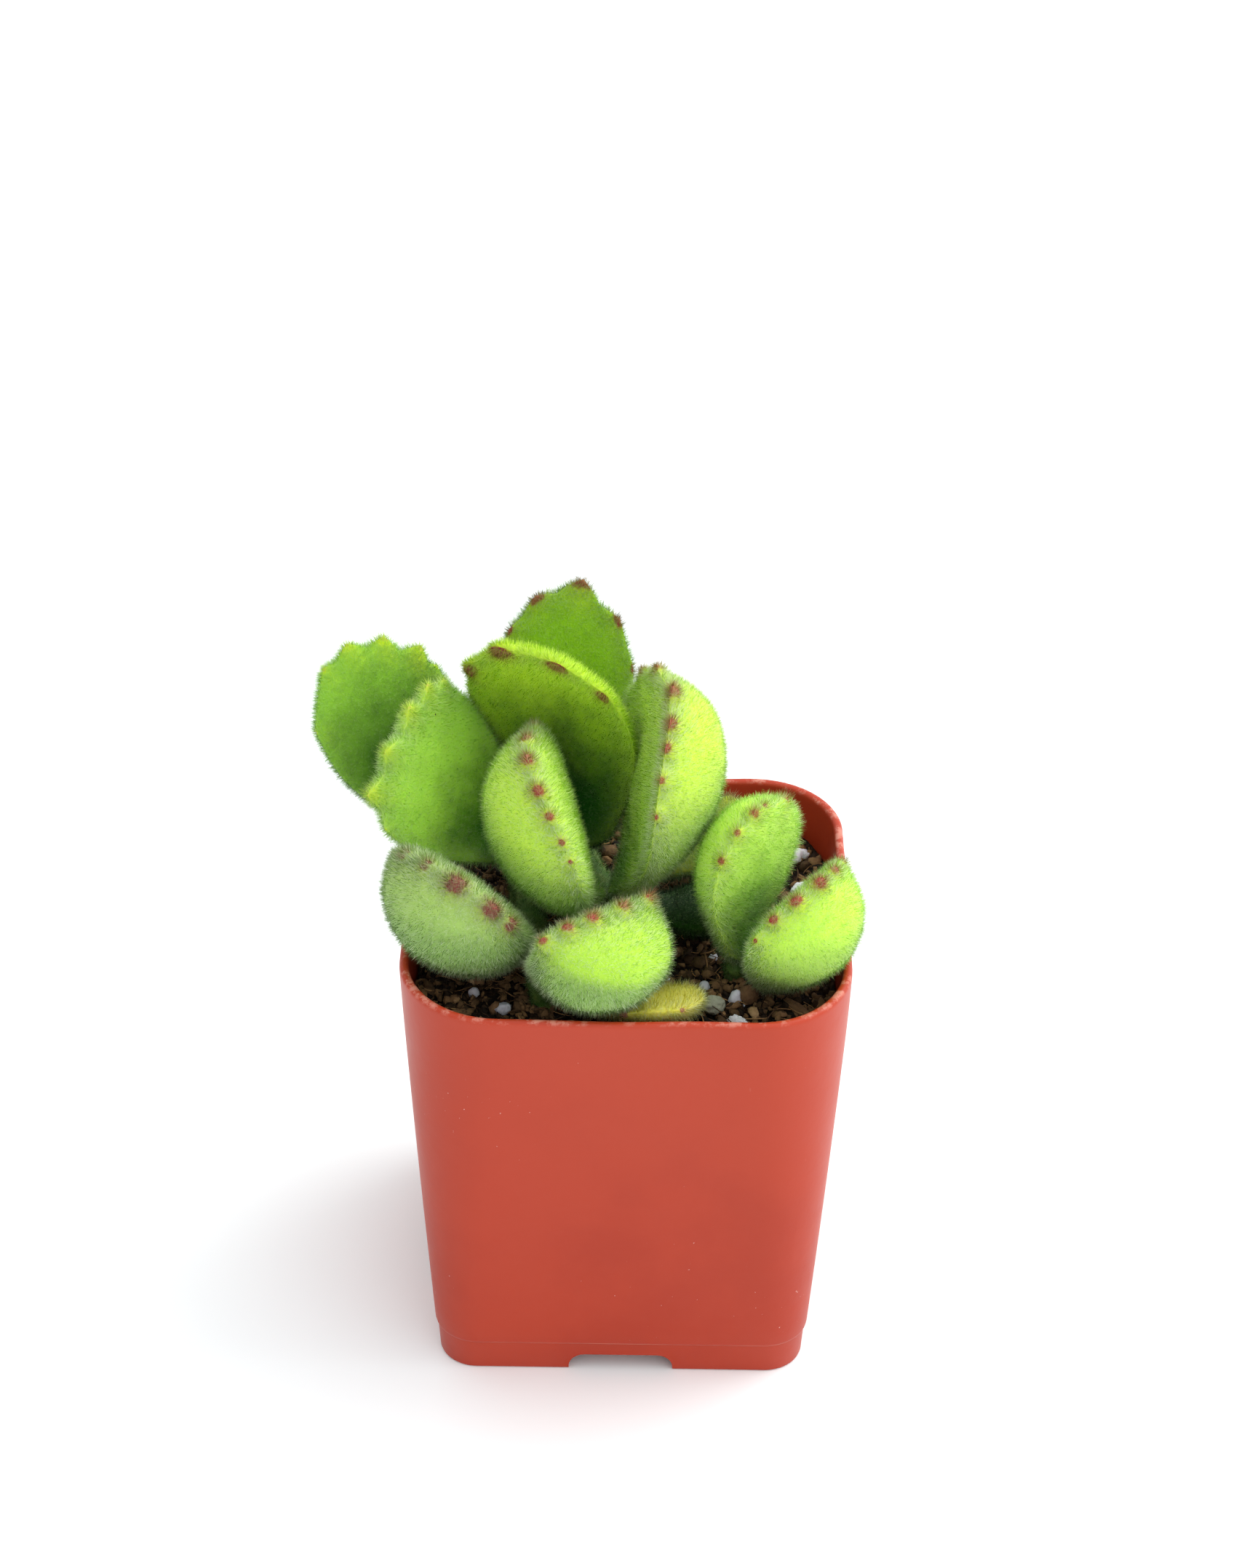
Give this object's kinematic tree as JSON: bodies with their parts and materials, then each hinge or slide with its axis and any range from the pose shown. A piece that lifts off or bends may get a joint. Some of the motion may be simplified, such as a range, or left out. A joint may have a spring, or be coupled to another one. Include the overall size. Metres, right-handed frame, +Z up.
{
  "type": "potted succulent plant",
  "caption": "Bears paw succulent with plump velvety toothed leaves on short shoots, growing in a small square tapered plastic pot filled with soil.",
  "frame": {"origin": "on the floor that the pot stands on, under the middle of the whole part's box; the pot's own axis is 5.8 mm towards +X and 0.7 mm towards +Y of it", "axes": "+Z up, -Y towards the front that the picture shows, +X to its right"},
  "size_m": [0.0672, 0.0555, 0.0894],
  "materials": {
    "pot": "satin moulded plastic, terracotta red, scuffed at the rim",
    "soil": "dark fibrous peat mix, matt",
    "stem": "soft green flesh with fine hair",
    "leaf_dark": "velvety dark green flesh",
    "leaf_mid": "velvety mid green flesh, maroon teeth",
    "leaf_lime": "velvety lime green flesh, maroon teeth",
    "leaf_yellow": "fading yellow flesh",
    "perlite": "matt white expanded grain",
    "bark": "rough brown chip",
    "stone": "matt grey green pebble"
  },
  "bodies": {
    "root": {"pot": "pot", "soil": "soil", "main_shoot": "stem", "left_shoot": "stem", "right_shoot": "stem", "front_shoot": "stem", "leaf_left_back": "leaf_dark", "leaf_left_front": "leaf_mid", "leaf_centre": "leaf_mid", "leaf_top": "leaf_mid", "leaf_right_tall": "leaf_lime", "leaf_front_tall": "leaf_lime", "leaf_right": "leaf_lime", "leaf_far_right": "leaf_lime", "leaf_left_low": "leaf_mid", "leaf_front_low": "leaf_lime", "leaf_yellow": "leaf_yellow", "leaf_shaded": "leaf_dark", "leaf_right_back": "leaf_yellow", "leaf_back": "leaf_dark", "perlite_left": "perlite", "perlite_front": "perlite", "perlite_right": "perlite", "perlite_corner": "perlite", "perlite_back": "perlite", "stone": "stone", "bark_left": "bark", "bark_front": "bark", "bark_back": "bark"}
  },
  "joints": []
}
